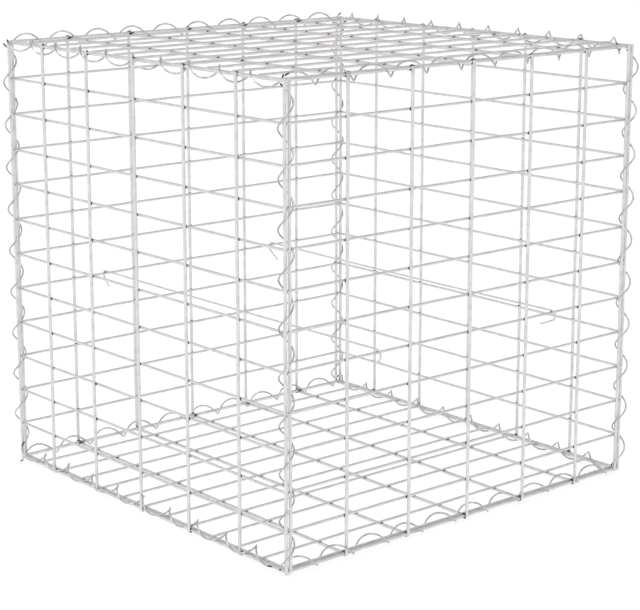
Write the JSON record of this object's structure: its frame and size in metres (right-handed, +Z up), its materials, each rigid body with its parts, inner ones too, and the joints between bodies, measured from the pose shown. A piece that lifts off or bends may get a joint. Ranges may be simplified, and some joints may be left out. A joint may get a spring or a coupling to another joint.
{
  "type": "gabion raised bed",
  "caption": "Square wire basket of welded mesh panels laced along every edge by spiral binders, with hooked tie wires inside, for a stone-filled wall or raised bed",
  "frame": {"origin": "on the ground, below the middle of the basket's overall box", "axes": "+X to the right along the front panel, +Y from the front to the back, +Z up"},
  "size_m": [0.6372, 0.6288, 0.6209],
  "materials": {
    "mesh_wire": "bright zinc coated, drawn wire",
    "spiral_wire": "bright zinc coated, drawn wire",
    "tie_wire": "zinc coated, duller"
  },
  "bodies": {
    "root": {"front_panel": "mesh_wire", "back_panel": "mesh_wire", "left_panel": "mesh_wire", "right_panel": "mesh_wire", "bottom_panel": "mesh_wire", "lid_panel": "mesh_wire", "spiral_bottom_front": "spiral_wire", "spiral_bottom_back": "spiral_wire", "spiral_bottom_left": "spiral_wire", "spiral_bottom_right": "spiral_wire", "spiral_top_front": "spiral_wire", "spiral_top_back": "spiral_wire", "spiral_top_left": "spiral_wire", "spiral_top_right": "spiral_wire", "spiral_front_left": "spiral_wire", "spiral_front_right": "spiral_wire", "spiral_back_left": "spiral_wire", "spiral_back_right": "spiral_wire", "tie_wire_left": "tie_wire", "tie_wire_right": "tie_wire"}
  },
  "joints": []
}
